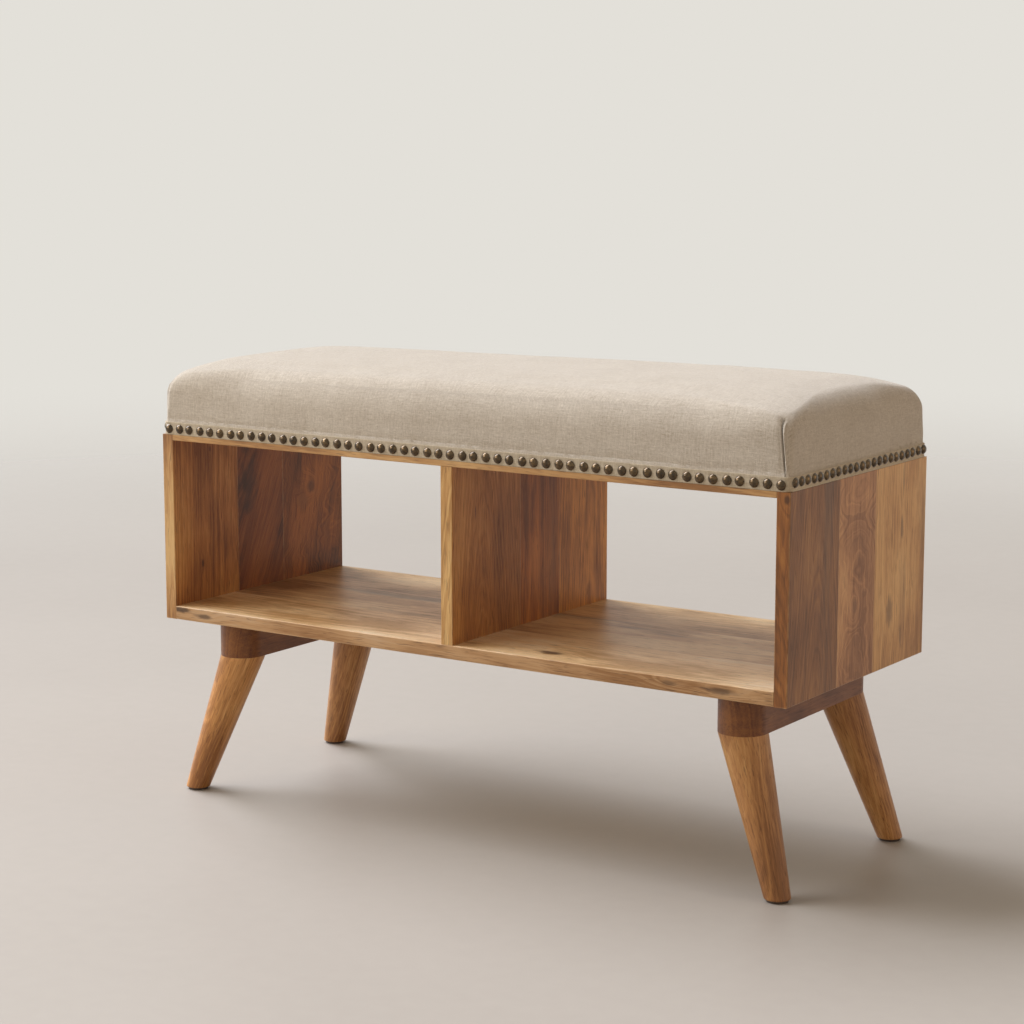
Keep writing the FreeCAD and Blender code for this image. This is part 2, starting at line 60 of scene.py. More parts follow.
def side_fractions(length, spacing, close_spacing, close_reach):
    """Fractions along a side, closer together near its two ends."""
    near = np.arange(close_spacing, close_reach, close_spacing)
    steps = max(2, round((length - 2 * close_reach) / spacing))
    middle = np.linspace(close_reach, length - close_reach, steps + 1)
    return np.concatenate([near, middle, length - near[::-1]]) / length


def stations(half_x, half_y, radius, arc_steps, spacing, close_spacing, close_reach):
    """Places round a rounded rectangle, anticlockwise from the middle of its front right corner.

    Each has the corner before it, how far it is towards the next corner, and the angle it faces."""
    long_side = side_fractions(2 * (half_x - radius), spacing, close_spacing, close_reach)
    short_side = side_fractions(2 * (half_y - radius), spacing, close_spacing, close_reach)
    rows = []
    for corner in range(4):
        turn = math.pi / 2
        rows += [(corner, 0.0, turn * (corner - 1 + i / arc_steps)) for i in range(arc_steps + 1)]
        fractions = short_side if corner % 2 == 0 else long_side
        rows += [(corner, f, turn * corner) for f in fractions]
    half_arc = arc_steps // 2
    rows = np.array(rows[half_arc:] + rows[:half_arc])
    short_count = len(short_side) + arc_steps + 1
    long_count = len(long_side) + arc_steps + 1
    return {"corner": rows[:, 0].astype(int), "fraction": rows[:, 1], "angle": rows[:, 2],
            "short": short_count, "long": long_count}


def facing(places):
    """The outward direction of each station."""
    return np.stack([np.cos(places["angle"]), np.sin(places["angle"])], 1)


def ring(places, half_x, half_y, radius):
    """The stations' points on a rounded rectangle. Each size is one number, or one for each station."""
    blank = np.ones(len(places["angle"]))
    inner = np.stack([(half_x - radius) * blank, (half_y - radius) * blank], 1)
    here = CORNER_SIGNS[places["corner"]] * inner
    after = CORNER_SIGNS[(places["corner"] + 1) % 4] * inner
    return here + (after - here) * places["fraction"][:, None] + facing(places) * (radius * blank)[:, None]


def wall_faces(rows, count):
    """Quads between rows of points that each go once round."""
    return [(r * count + s, r * count + (s + 1) % count,
             (r + 1) * count + (s + 1) % count, (r + 1) * count + s)
            for r in range(rows - 1) for s in range(count)]


def top_grid(border, places, first_index, border_index):
    """Fills a closed border with a grid: its inner points, and quads that join them to the border.

    The border's points run up the right side first, so that side's point j is simply point j."""
    short, long = places["short"], places["long"]

    def front(i):
        return (2 * short + long + i) % (2 * (short + long))

    def back(i):
        return short + long - i

    def left(j):
        return 2 * short + long - j

    bottom_left, bottom_right = border[front(0)], border[front(long)]
    top_left, top_right = border[back(0)], border[back(long)]
    across = [(border[front(i)][0] - bottom_left[0]) / (bottom_right[0] - bottom_left[0])
              for i in range(long + 1)]
    along = [(border[j][1] - bottom_right[1]) / (top_right[1] - bottom_right[1])
             for j in range(short + 1)]
    points = []
    for j in range(1, short):
        b = along[j]
        for i in range(1, long):
            a = across[i]
            blended = (1 - b) * border[front(i)] + b * border[back(i)]
            blended = blended + (1 - a) * border[left(j)] + a * border[j]
            corners = (1 - a) * ((1 - b) * bottom_left + b * top_left)
            corners = corners + a * ((1 - b) * bottom_right + b * top_right)
            points.append(blended - corners)

    def index(i, j):
        if j == 0:
            return border_index + front(i)
        if j == short:
            return border_index + back(i)
        if i == 0:
            return border_index + left(j)
        if i == long:
            return border_index + j
        return first_index + (j - 1) * (long - 1) + i - 1

    faces = [(index(i, j), index(i + 1, j), index(i + 1, j + 1), index(i, j + 1))
             for j in range(short) for i in range(long)]
    return np.array(points), faces


def mesh_object(name, points, faces, material=None):
    """A smooth-shaded mesh object from points and faces."""
    mesh = bpy.data.meshes.new(name)
    mesh.from_pydata([tuple(p) for p in points], [], faces)
    mesh.polygons.foreach_set("use_smooth", [True] * len(mesh.polygons))
    made = bpy.data.objects.new(name, mesh)
    bpy.context.scene.collection.objects.link(made)
    if material:
        mesh.materials.append(material)
    return made


def store(made, name, values):
    """Keeps one vector for each point of a mesh, for its material to read."""
    attribute = made.data.attributes.new(name, "FLOAT_VECTOR", "POINT")
    attribute.data.foreach_set("vector", np.asarray(values, np.float32).ravel())


def smoothstep(low, high, value):
    t = np.clip((value - low) / (high - low), 0, 1)
    return t * t * (3 - 2 * t)


# ---------------------------------------------------------------- the cushion

TAPE_LOW, TAPE_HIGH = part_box("nail_tape")
COVER_LOW, COVER_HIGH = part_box("linen_cover")
BOARD_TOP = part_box("seat_board_front_stave")[1].z
HALF_X, HALF_Y = COVER_HIGH.x, COVER_HIGH.y
HEM_RADIUS = 8.3 * MM
HEM_THICKNESS = 1.2 * MM
CUSHION_LIFT = 0.4 * MM              # its flat underside lies this far above the seat board
UNDERSIDE_ROUNDING = 0.8             # how much of an inset goes into the underside's corner radius

CREASE_Z = TAPE_HIGH.z + 1.6 * MM
CREASE_DEPTH = 0.9 * MM              # with the pucker, just less than the gap to the board behind it
CREASE_FADES = 0.34                  # the share of the side's height over which the crease fades
PUCKER_DEPTH = 0.6 * MM              # from a nail's place to midway between two
PUCKER_REACH = 5 * MM
PUCKER_FADES = 0.4

CROWN_Z = COVER_HIGH.z + 1.5 * MM
CROWN_INSET = 40 * MM
FALL_TO_FRONT, FRONT_POWER = 15 * MM, 3
FALL_TO_END, END_POWER = 13 * MM, 12
LEFT_SAG = 5.5 * MM                  # the filling has settled lower towards the left end
SAG_SPAN = (-0.42, 0.3)              # along the seat in metres, where the sag is full and where it ends
RIM_REACH = (14 * MM, 30 * MM)       # at a corner, and midway along a side
RIM_DROP = (20 * MM, 42 * MM)
RIM_SOFTENS = 110 * MM               # how far from a corner the rim reaches its full size
RIM_WIDENS = 3.5 * MM                # how much the corners' radius grows from the tape up to the rim
RIM_ROUNDING = 0.75
LUMPS = ((0.7 * MM, 11, 1), (0.35 * MM, 34, 2))   # height, scale and seed of each set of soft lumps

FILL_RISE = 2.5 * MM                 # how far below its place the crown starts, to be lifted
FILL_CAP = 5 * MM                    # the most that the filling moves a point
FILL_STEPS = 20
FILL_SHARE = 0.3                     # how much of the filling's moves the stuffed cover shows
FILL_SPREAD = 14 * MM
FILL_NEIGHBOURS = 48

NAILS_LONG, NAILS_SHORT = 53, 23
NAIL_RADIUS = 5.8 * MM

SEAM_TOP = 549 * MM
SEAM_CORNER_RADIUS = HEM_RADIUS + 2 * MM   # the corners' radius partway up the seam
SEAM_FOOT_OFFSET = 3.7 * MM
SEAM_HEAD_OFFSET = -3.5 * MM
LEFT_SEAM_SHIFT = 9 * MM             # the left corners' seams lie further round, on the end
GROOVE_DEPTH, GROOVE_WIDTH = 3.0 * MM, 1.0 * MM
LIP_HEIGHT, LIP_PLACE, LIP_WIDTH = 1.1 * MM, 2.5 * MM, 1.3 * MM
ROLL_DEPTH, ROLL_PLACE, ROLL_WIDTH = 0.8 * MM, -3 * MM, 2.4 * MM
DIMPLE_DEPTH, DIMPLE_HEIGHT, DIMPLE_WIDTH = 2.0 * MM, 4 * MM, 3.5 * MM
DIMPLE_SHADE = 0.45


def crown(xy):
    """The height of the seat's top over a point: it falls to the edges, and sags to the left."""
    settled = LEFT_SAG * (1 - smoothstep(*SAG_SPAN, xy[:, 0]))
    to_front = np.clip(np.abs(xy[:, 1]) / HALF_Y, 0, 1)
    to_end = np.clip(np.abs(xy[:, 0]) / HALF_X, 0, 1)
    return CROWN_Z - settled - FALL_TO_FRONT * to_front ** FRONT_POWER - FALL_TO_END * to_end ** END_POWER


def rim_sizes(places):
    """How far in and how far down the rounded rim goes at each station: tighter at the corners."""
    length = np.where(places["corner"] % 2 == 0, 2 * HALF_Y, 2 * HALF_X)
    from_corner = np.minimum(places["fraction"], 1 - places["fraction"]) * length
    soft = smoothstep(0, RIM_SOFTENS, from_corner)
    return [low + (high - low) * soft for low, high in (RIM_REACH, RIM_DROP)]


def waves(points, scale, seed):
    """Smooth noise from -1 to 1 at each point, always the same."""
    offset = Vector((seed * 13.1, seed * 7.7, seed * 3.3))
    return np.array([noise.noise(Vector(p) * scale + offset) for p in points])


def nail_places(count, node, axis):
    """The nails' middles along one side, evenly spaced inside their node's box."""
    low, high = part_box(node)
    return np.linspace(low[axis] + NAIL_RADIUS, high[axis] - NAIL_RADIUS, count)


def nail_nearness(xy, reach):
    """1 at a nail and 0 midway between nails, for points round the seat's edge."""
    along_x = nail_places(NAILS_LONG, "upholstery_nails_front", 0)
    along_y = nail_places(NAILS_SHORT, "upholstery_nails_right", 1)
    on_end = np.abs(xy[:, 0]) - HALF_X > np.abs(xy[:, 1]) - HALF_Y
    gap_x = np.abs(xy[:, 0][:, None] - along_x[None]).min(1)
    gap_y = np.abs(xy[:, 1][:, None] - along_y[None]).min(1)
    gap = np.where(on_end, gap_y, gap_x)
    return np.exp(-(gap / reach) ** 2)


def cushion_rows():
    """The cushion's profile from its flat underside up to the crown, as (part, how far through it)."""
    rows = [("base", 0.0), ("base", 1.0), ("hem_inside", 0.0), ("hem", 0.0), ("hem", 0.5), ("hem", 1.0)]
    rows += [("side", t) for t in (0.0, 0.06, 0.13, 0.22, 0.34, 0.5, 0.66, 0.83)]
    rows += [("rim", t) for t in np.linspace(0, 1, 13)]
    rows += [("flat", t) for t in (0.25, 0.5, 0.75, 1.0)]
    return rows


PINNED_ROWS = 7                      # the first rows, up to the crease, which the filling leaves alone


def cushion_row(places, part, t, rise):
    """One row's points. rise lifts the crown, so that the filling can start lower."""
    radius = HEM_RADIUS
    if part == "base":
        inset = CROWN_INSET + (HEM_THICKNESS - CROWN_INSET) * t
        xy = ring(places, HALF_X - inset, HALF_Y - inset, radius + UNDERSIDE_ROUNDING * inset)
        return xy, np.full(len(xy), BOARD_TOP + CUSHION_LIFT)
    if part == "hem_inside":
        xy = ring(places, HALF_X - HEM_THICKNESS, HALF_Y - HEM_THICKNESS, radius - HEM_THICKNESS)
        return xy, np.full(len(xy), COVER_LOW.z)
    if part == "hem":
        xy = ring(places, HALF_X, HALF_Y, radius)
        return xy, np.full(len(xy), COVER_LOW.z + (TAPE_HIGH.z - COVER_LOW.z) * t)
    reach, drop = rim_sizes(places)
    base = crown(ring(places, HALF_X, HALF_Y, radius)) + rise - drop
    if part == "side":
        inset = CREASE_DEPTH * (1 - smoothstep(0, CREASE_FADES, t))
        xy = ring(places, HALF_X - inset, HALF_Y - inset, radius - inset + RIM_WIDENS * t)
        pucker = (nail_nearness(xy, PUCKER_REACH) - 0.5) * (1 - smoothstep(0, PUCKER_FADES, t))
        return xy - facing(places) * (PUCKER_DEPTH * pucker)[:, None], CREASE_Z + (base - CREASE_Z) * t
    if part == "rim":
        turn = t * math.pi / 2
        inset = reach * (1 - math.cos(turn))
        fall = drop * (1 - math.sin(turn))
    else:
        inset = reach + (CROWN_INSET - reach) * t
        fall = 0
    xy = ring(places, HALF_X - inset, HALF_Y - inset, radius + RIM_WIDENS + RIM_ROUNDING * inset)
    return xy, crown(xy) + rise - fall


def cushion_shape(places, rise):
    """All the cushion's points and faces, and how many of its first points are held down."""
    rows = [cushion_row(places, part, t, rise) for part, t in cushion_rows()]
    count = len(places["angle"])
    points = [np.column_stack([xy, z]) for xy, z in rows]
    faces = wall_faces(len(rows), count)
    faces.append(tuple(range(count - 1, -1, -1)))
    border_index = (len(rows) - 1) * count
    inner, inner_faces = top_grid(points[-1][:, :2], places, len(rows) * count, border_index)
    points.append(np.column_stack([inner, crown(inner) + rise]))
    return np.concatenate(points), faces + inner_faces, PINNED_ROWS * count


def fill(points, faces, held):
    """Blows the cover up from inside with a cloth simulation, and gives how far each point moved."""
    made = mesh_object("filling", points, faces)
    group = made.vertex_groups.new(name="held")
    group.add(list(range(held)), 1.0, "REPLACE")
    cloth = made.modifiers.new("fill", "CLOTH")
    settings = cloth.settings
    settings.quality = 6
    settings.mass = 0.25
    settings.tension_stiffness = 25
    settings.compression_stiffness = 25
    settings.shear_stiffness = 10
    settings.bending_stiffness = 2
    settings.use_pressure = True
    settings.uniform_pressure_force = 4
    settings.vertex_group_mass = "held"
    settings.effector_weights.gravity = 0
    scene = bpy.context.scene
    for step in range(FILL_STEPS):
        scene.frame_set(step + 1)
    evaluated = made.evaluated_get(bpy.context.evaluated_depsgraph_get())
    after = np.zeros(len(points) * 3)
    evaluated.data.vertices.foreach_get("co", after)
    moved = after.reshape(-1, 3) - points
    scene.frame_set(1)
    bpy.data.objects.remove(made)
    length = np.linalg.norm(moved, axis=1, keepdims=True)
    return moved * np.minimum(1, FILL_CAP / np.maximum(length, 1e-9))


def carried(coarse, moved, fine, spread):
    """The coarse points' moves, smoothed and carried over to nearby fine points."""
    tree = kdtree.KDTree(len(coarse))
    for i, point in enumerate(coarse):
        tree.insert(point, i)
    tree.balance()
    result = np.zeros_like(fine)
    for i, point in enumerate(fine):
        found = tree.find_n(point, FILL_NEIGHBOURS)
        weights = np.exp(-np.array([f[2] for f in found]) ** 2 / (2 * spread ** 2)) + 1e-9
        result[i] = (weights[:, None] * moved[[f[1] for f in found]]).sum(0) / weights.sum()
    return result


def corner_distance(points):
    """How far round a corner each point of the edge is, from where the long side starts to turn."""
    radius = SEAM_CORNER_RADIUS
    x = np.abs(points[:, 0]) - (HALF_X - radius)
    y = np.abs(points[:, 1]) - (HALF_Y - radius)
    angle = np.arctan2(np.maximum(x, 0), np.maximum(y, 1e-6))
    return np.where(y < 0, radius * math.pi / 2 - y, np.where(x < 0, x, radius * angle))


def seam_gap(points):
    """How far each point of the edge is from its corner's sewn fold, in metres."""
    up = np.clip((points[:, 2] - CREASE_Z) / (SEAM_TOP - CREASE_Z), 0, 1)
    seam = SEAM_FOOT_OFFSET + (SEAM_HEAD_OFFSET - SEAM_FOOT_OFFSET) * up
    return corner_distance(points) - seam - np.where(points[:, 0] < 0, LEFT_SEAM_SHIFT, 0)


def fold_corners(points, outward):
    """Presses the sewn fold into each corner: a groove with a lip on the end's side.

    Beside the seat board the fold stays flat, so that the wood doesn't show through. It gives the
    points back, and how deep in the fold each one lies."""
    gap, z = seam_gap(points), points[:, 2]
    present = 1 - smoothstep(SEAM_TOP - 5 * MM, SEAM_TOP + 2 * MM, z)
    present *= smoothstep(COVER_LOW.z + 12 * MM, TAPE_HIGH.z, z)
    clear = smoothstep(BOARD_TOP, BOARD_TOP + 6 * MM, z)
    groove = np.exp(-(gap / GROOVE_WIDTH) ** 2)
    lip = np.exp(-((gap - LIP_PLACE) / LIP_WIDTH) ** 2)
    roll = np.exp(-((gap - ROLL_PLACE) / ROLL_WIDTH) ** 2)
    dimple = np.exp(-((z - SEAM_TOP) / DIMPLE_HEIGHT) ** 2 - (gap / DIMPLE_WIDTH) ** 2)
    fold = (LIP_HEIGHT * lip - ROLL_DEPTH * roll - GROOVE_DEPTH * groove) * present * clear
    pushed = fold - DIMPLE_DEPTH * dimple
    return points + outward * pushed[:, None], np.maximum(groove * present, DIMPLE_SHADE * dimple)


def weave_places(points, places):
    """Where each point lies on the flat linen, so that the threads run over the edges unbroken."""
    count = len(places["angle"])
    rows = len(cushion_rows())
    flat = points[:, :2].copy()
    band = points[:rows * count].reshape(rows, count, 3)
    steps = np.linalg.norm(np.diff(band, axis=0), axis=2)
    level = np.linalg.norm(np.diff(band[:, :, :2], axis=0), axis=2)
    excess = np.zeros((rows, count))
    excess[:-1] = np.cumsum((steps - level)[::-1], axis=0)[::-1]
    excess = excess.ravel()
    edge = points[:rows * count]
    blur = 1.0 * MM + 9 * MM * smoothstep(SEAM_TOP - 6 * MM, SEAM_TOP + 12 * MM, edge[:, 2])
    gap = seam_gap(edge)
    to_end = np.clip(0.5 + gap / (2 * blur), 0, 1)
    flat[:len(edge), 0] += np.sign(edge[:, 0]) * excess * to_end
    flat[:len(edge), 1] += np.sign(edge[:, 1]) * excess * (1 - to_end)
    return np.column_stack([flat, np.zeros(len(flat))])


def mesh_normals(made):
    """The outward direction at each of a mesh's points."""
    values = np.zeros(len(made.data.vertices) * 3, np.float32)
    made.data.vertices.foreach_get("normal", values)
    return values.reshape(-1, 3)


def make_cushion(material):
    """The linen cushion: a stuffed crowned form on the seat board, with its hem down behind the tape."""
    fine_places = stations(HALF_X, HALF_Y, HEM_RADIUS, arc_steps=16, spacing=4 * MM,
                           close_spacing=1 * MM, close_reach=12 * MM)
    points, faces, held = cushion_shape(fine_places, 0)
    coarse_places = stations(HALF_X, HALF_Y, HEM_RADIUS, arc_steps=4, spacing=8 * MM,
                             close_spacing=4 * MM, close_reach=8 * MM)
    full = cushion_shape(coarse_places, 0)[0]
    start, start_faces, start_held = cushion_shape(coarse_places, -FILL_RISE)
    moved = start - full + fill(start, start_faces, start_held)
    points[held:] += FILL_SHARE * carried(full, moved, points[held:], FILL_SPREAD)
    made = mesh_object("linen_cushion", points, faces, material)
    outward = mesh_normals(made)
    lumps = sum(height * waves(points, scale, seed) for height, scale, seed in LUMPS)
    lumps[:held] = 0
    weave = weave_places(points, fine_places)
    points, fold = fold_corners(points + outward * lumps[:, None], outward)
    made.data.vertices.foreach_set("co", points.ravel())
    made.data.update()
    weave[:, 2] = fold
    store(made, "weave", weave)
    return made


# ---------------------------------------------------------------- the tape under the nails

TAPE_RADIUS = 9.6 * MM
TAPE_GAP = 0.1 * MM                  # between the tape and the linen behind it
TAPE_EDGE = 0.7 * MM                 # how far its rounded edges reach
TAPE_DIP = 2.0 * MM
TAPE_PRESS = 0.35 * MM
TAPE_PRESS_REACH = 6.5 * MM


def tape_profile():
    """The tape's front from its lower edge to its upper one, as (share of its thickness, height)."""
    low, high = TAPE_LOW.z, TAPE_HIGH.z
    lower_edge = [(1.0, low + 0.5 * MM), (0.5, low), (0.15, low + 0.15 * MM), (0.0, low + TAPE_EDGE)]
    upper_edge = [(share, high - (z - low)) for share, z in reversed(lower_edge)]
    middle = [(0.2, low + (high - low) * t) for t in (0.2, 0.35, 0.5, 0.65, 0.8)]
    return lower_edge + [(0.12, low + TAPE_DIP)] + middle + [(0.12, high - TAPE_DIP)] + upper_edge


def make_tape(material):
    """The woven tape that the nails hold, pressed in at each nail and puffed up between them."""
    places = stations(TAPE_HIGH.x, TAPE_HIGH.y, TAPE_RADIUS, arc_steps=12, spacing=1.6 * MM,
                      close_spacing=1.5 * MM, close_reach=3 * MM)
    thick = TAPE_HIGH.x - HALF_X - TAPE_GAP
    centre, half_height = (TAPE_LOW.z + TAPE_HIGH.z) / 2, (TAPE_HIGH.z - TAPE_LOW.z) / 2
    rows = []
    for share, z in tape_profile():
        depth = share * thick
        xy = ring(places, TAPE_HIGH.x - depth, TAPE_HIGH.y - depth, TAPE_RADIUS - depth)
        if share < 1:
            middle = max(0.0, 1 - abs(z - centre) / half_height)
            press = TAPE_PRESS * nail_nearness(xy, TAPE_PRESS_REACH) * middle
            xy = xy - facing(places) * press[:, None]
        rows.append(np.column_stack([xy, np.full(len(xy), z)]))
    count = len(places["angle"])
    points = np.concatenate(rows)
    faces = wall_faces(len(rows), count)
    last = (len(rows) - 1) * count
    faces += [(last + s, last + (s + 1) % count, (s + 1) % count, s) for s in range(count)]
    made = mesh_object("nail_tape_woven", points, faces, material)
    start = rows[3][:, :2]
    along = np.concatenate([[0], np.cumsum(np.linalg.norm(np.diff(start, axis=0), axis=1))])
    store(made, "weave", np.column_stack([np.tile(along, len(rows)), points[:, 2], np.zeros(len(points))]))
    return made


# ---------------------------------------------------------------- material nodes

def paint(red, green, blue):
    """A display colour from 0 to 255 as linear light."""
    levels = [c / 255 for c in (red, green, blue)]
    return (*[c / 12.92 if c <= 0.04045 else ((c + 0.055) / 1.055) ** 2.4 for c in levels], 1.0)


class Nodes:
    """A material's nodes, made and joined by short calls.

    Any input takes a value or another node's output."""

    def __init__(self, name):
        self.material = bpy.data.materials.new(name)
        self.material.use_nodes = True
        self.tree = self.material.node_tree
        self.shader = self.tree.nodes["Principled BSDF"]

    def feed(self, socket, value):
        if isinstance(value, bpy.types.NodeSocket):
            self.tree.links.new(value, socket)
        else:
            socket.default_value = value

    def node(self, kind, inputs=None, **settings):
        made = self.tree.nodes.new("ShaderNode" + kind)
        for key, value in settings.items():
            setattr(made, key, value)
        for key, value in (inputs or {}).items():
            self.feed(made.inputs[key], value)
        return made

    def math(self, operation, *values):
        return self.node("Math", dict(enumerate(values)), operation=operation).outputs[0]

    def vector(self, operation, *values):
        return self.node("VectorMath", dict(enumerate(values)), operation=operation).outputs[0]

    def scaled(self, vector, factor):
        return self.node("VectorMath", {0: vector, 3: factor}, operation="SCALE").outputs[0]

    def measure(self, operation, *values):
        """A single number taken from vectors, such as a length."""
        return self.node("VectorMath", dict(enumerate(values)), operation=operation).outputs[1]

    def noise(self, vector, scale=1.0, detail=2.0, roughness=0.5, output="Fac"):
        inputs = {"Vector": vector, "Scale": scale, "Detail": detail, "Roughness": roughness}
        return self.node("TexNoise", inputs).outputs[output]

    def line_noise(self, place, detail=2.0, roughness=0.5):
        inputs = {"W": place, "Scale": 1.0, "Detail": detail, "Roughness": roughness}
        return self.node("TexNoise", inputs, noise_dimensions="1D").outputs["Fac"]

    def fit(self, value, low, high, start=0.0, end=1.0):
        """Eases from start to end as value goes from low to high, and stays there beyond."""
        inputs = {"Value": value, "From Min": low, "From Max": high, "To Min": start, "To Max": end}
        return self.node("MapRange", inputs, interpolation_type="SMOOTHSTEP").outputs[0]

    def mix(self, factor, first, second, blend="MIX"):
        inputs = {0: factor, 6: first, 7: second}
        return self.node("Mix", inputs, data_type="RGBA", blend_type=blend).outputs[2]

    def ramp(self, factor, *stops):
        """Blends through the stops, each a (place, colour) pair."""
        made = self.node("ValToRGB", {0: factor})
        elements = made.color_ramp.elements
        while len(elements) < len(stops):
            elements.new(0.5)
        for element, (place, colour) in zip(elements, stops):
            element.position = place
            element.color = colour
        return made.outputs[0]

    def total(self, start, *parts):
        """start plus each signal's distance from a half, times its weight."""
        value = start
        for signal, weight in parts:
            centred = self.math("SUBTRACT", signal, 0.5)
            value = self.math("MULTIPLY_ADD", centred, weight, value)
        return value

    def bump(self, height, distance, strength):
        inputs = {"Height": height, "Distance": distance, "Strength": strength}
        self.feed(self.shader.inputs["Normal"], self.node("Bump", inputs).outputs[0])

    def set(self, **values):
        """Sets the shader's own sockets, named with underscores for spaces."""
        for key, value in values.items():
            self.feed(self.shader.inputs[key.replace("_", " ")], value)


# ---------------------------------------------------------------- wood

KNOT_BROWN = paint(58, 34, 20)
PORE_BROWN = paint(72, 42, 24)
# partly rubbed finish, partly a painted highlight along the boards' sharp edges
RUBBED_AND_HIGHLIT = paint(196, 156, 110)


def wood(name, grain, seed, dark, mid, light, lean=(0, 0, 0), pith=(0, 0, 0), taper=0.05,
         ring_width=3, rings=1.0, streaks=1.0, fibres=0.5, blotches=0.5, wander=8, curl=0.0,
         heart=None, heart_amount=0.0, heart_level=0.56, heart_run=2.2, marks=(), edges=None, front=None):
    """Solid wood, the same all through the board. grain is the axis it grew along; lengths are in mm.

    lean tilts the grain, pith is a point on the tree's middle, and taper makes the rings close into
    loops. rings, streaks, fibres and blotches say how strongly each of them shows. wander is how far
    the grain drifts, and curl how far it swirls. heart is a second colour that runs in veins:
    heart_amount is its strength, more heart_level makes it rarer, and less heart_run makes it longer.
    marks are knots: (place, reach, depth, bulge). edges is the board's box, for its rubbed edges, which also
    carry a painted highlight.
    front is how many times lighter the wood is painted on its front edge, for red, green and blue: painted
    light and shade, for the lamps' light on the faces turned to the front."""
    m = Nodes(name)
    grain = np.array(grain, float)
    sideways = tuple(1 - grain)
    offset = np.array((3.7, 1.9, 2.9)) * seed

    def stretched(vector, across, along):
        return m.vector("MULTIPLY", vector, tuple(np.where(grain > 0.5, along, across)))

    place = m.node("TexCoord").outputs["Object"]
    length = m.measure("DOT_PRODUCT", place, tuple(grain))
    straight = m.vector("SUBTRACT", place, m.scaled(lean, length))
    moved = m.vector("ADD", straight, tuple(offset))
    # a slow drift bends the grain, and a small shiver roughens it
    drift = m.noise(stretched(moved, 6, 2.2), detail=2, output="Color")
    drift = m.vector("MULTIPLY", m.vector("SUBTRACT", drift, (0.5, 0.5, 0.5)), sideways)
    wavy = m.vector("ADD", moved, m.scaled(drift, wander * 2.5 * MM))
    shiver = m.noise(stretched(moved, 90, 22), detail=2, output="Color")
    shiver = m.vector("MULTIPLY", m.vector("SUBTRACT", shiver, (0.5, 0.5, 0.5)), sideways)
    wavy = m.vector("ADD", wavy, m.scaled(shiver, 3.5 * MM))

    from_pith = m.vector("SUBTRACT", wavy, tuple(np.array(pith) * MM + offset))
    reach = m.measure("LENGTH", m.vector("MULTIPLY", from_pith, sideways))
    reach = m.math("MULTIPLY_ADD", length, taper, reach)
    knots = []
    for centre, size, depth, bulge in marks:
        gap = m.vector("SUBTRACT", place, tuple(np.array(centre) * MM))
        gap = m.measure("LENGTH", m.vector("DIVIDE", gap, tuple(np.array(size) * MM)))
        ragged = m.total(gap, (m.noise(stretched(moved, 200, 80), detail=3), 0.8))
        knots.append((m.fit(ragged, 1.05, 0.35), depth))
        swell = m.fit(gap, 3.2, 0.0)
        reach = m.math("MULTIPLY_ADD", swell, bulge * MM, reach)
    if curl:
        ripple = m.noise(stretched(wavy, 16, 30), detail=2, roughness=0.45)
        reach = m.math("MULTIPLY_ADD", ripple, curl * 60 * MM, reach)

    bands = m.line_noise(m.math("DIVIDE", reach, ring_width * MM), detail=2, roughness=0.6)
    broad = m.line_noise(m.math("DIVIDE", reach, ring_width * 7 * MM), detail=1)
    streak = m.noise(stretched(wavy, 150, 6), detail=3, roughness=0.55)
    fibre = m.noise(stretched(wavy, 620, 30), detail=3, roughness=0.6)
    blotch = m.noise(stretched(moved, 11, 6), detail=3)
    tone = m.total(0.5, (bands, 0.6 * rings), (broad, 0.35 * rings), (streak, 0.6 * streaks),
                   (fibre, 1.25 * fibres), (blotch, 2.8 * blotches))
    colour = m.ramp(tone, (0.18, dark), (0.5, mid), (0.82, light))
    if heart:
        vein = m.noise(stretched(wavy, 18, heart_run), detail=4, roughness=0.6)
        vein = m.math("MULTIPLY", m.fit(vein, heart_level, heart_level + 0.2), heart_amount)
        colour = m.mix(vein, colour, heart)
    for knot, depth in knots:
        colour = m.mix(m.math("MULTIPLY", knot, depth), colour, KNOT_BROWN)
    pore = m.fit(m.noise(stretched(wavy, 900, 34), detail=1), 0.6, 0.7)
    colour = m.mix(m.math("MULTIPLY", pore, 0.5), colour, PORE_BROWN)
    # painted light and shade: faces turned to the front are made lighter or darker by front
    if front:
        front_face_painted_light = m.measure("DOT_PRODUCT", m.node("TexCoord").outputs["Normal"], (0, -1, 0))
        front_face_painted_light = m.fit(front_face_painted_light, 0.6, 0.95)
        colour = m.mix(front_face_painted_light, colour, m.vector("MULTIPLY", colour, front))
    # the long edges are lightened: rubbed finish, and a painted highlight along the arris
    if edges:
        colour = m.mix(rubbed_and_highlit_edges(m, place, *edges), colour, RUBBED_AND_HIGHLIT)
    roughness = m.total(0.46, (tone, -0.08), (pore, 0.12))
    height = m.total(0.5, (fibre, 0.6), (pore, -0.5), (bands, 0.25))
    m.bump(height, 0.25 * MM, 0.35)
    m.set(Base_Color=colour, Roughness=roughness, Specular_IOR_Level=0.42)
    return m.material


def rubbed_and_highlit_edges(m, place, low, high):
    """How near a point of a board is to one of its long edges, where the finish has rubbed lighter and a
    highlight is painted along the arris.
    """
    middle = tuple((low + high) / 2)
    half = tuple((high - low) / 2)
    inside = m.vector("SUBTRACT", half, m.vector("ABSOLUTE", m.vector("SUBTRACT", place, middle)))
    parts = m.node("SeparateXYZ", {0: inside}).outputs
    least = m.math("MINIMUM", parts[0], parts[1])
    most = m.math("MAXIMUM", parts[0], parts[1])
    second = m.math("MAXIMUM", least, m.math("MINIMUM", most, parts[2]))
    patchy = m.noise(place, scale=60, detail=2)
    return m.math("MULTIPLY", m.fit(second, 1.6 * MM, 0.2 * MM), m.fit(patchy, 0.35, 0.7, 0.15, 0.55))


# ---------------------------------------------------------------- cloth, metal and plastic

SEAM_SHADE = paint(58, 48, 38)


